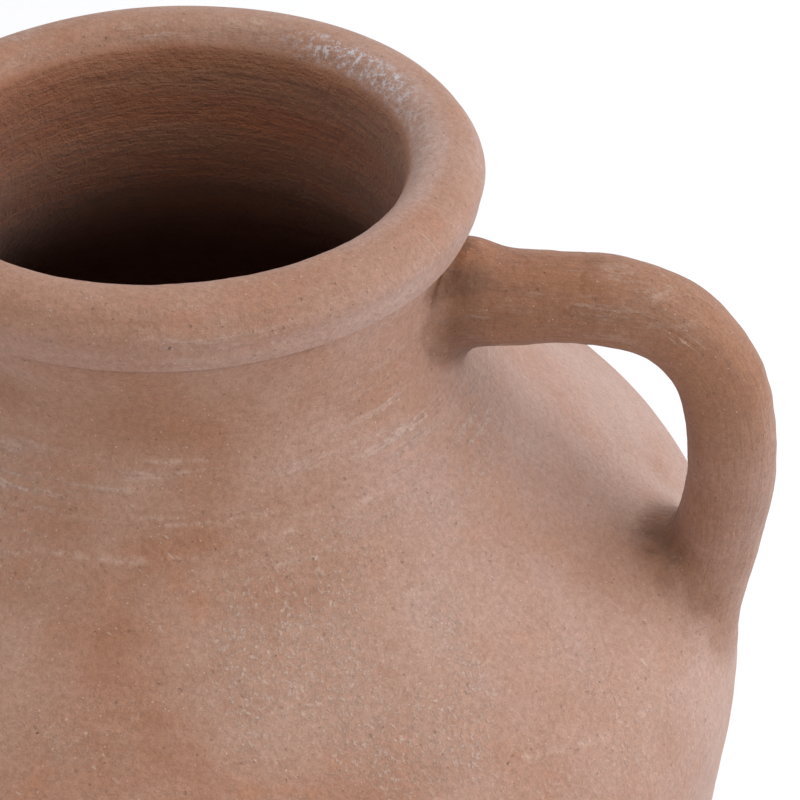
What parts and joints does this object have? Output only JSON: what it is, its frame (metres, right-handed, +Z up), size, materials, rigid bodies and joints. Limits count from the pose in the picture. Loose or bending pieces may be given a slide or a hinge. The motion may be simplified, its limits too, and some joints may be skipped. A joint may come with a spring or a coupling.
{
  "type": "amphora",
  "caption": "Rustic terracotta storage amphora with an ovoid body, wide rolled rim and round loop handles from neck to shoulder, for holding and carrying dry goods or liquid.",
  "frame": {"origin": "centre of the flat base, on the surface that the amphora stands on", "axes": "+Z up along the vessel's axis, X through both handles, Y across them"},
  "size_m": [0.4026, 0.392, 0.49],
  "materials": {
    "body_clay": "matte",
    "rim_clay": "matte",
    "handle_clay": "matte",
    "luting_clay": "matte"
  },
  "bodies": {
    "root": {"lower_body": "body_clay", "upper_body": "body_clay", "rim": "rim_clay", "handle_right": "handle_clay", "handle_left": "handle_clay", "upper_lute_right": "luting_clay", "upper_lute_left": "luting_clay", "lower_lute_right": "luting_clay", "lower_lute_left": "luting_clay"}
  },
  "joints": []
}
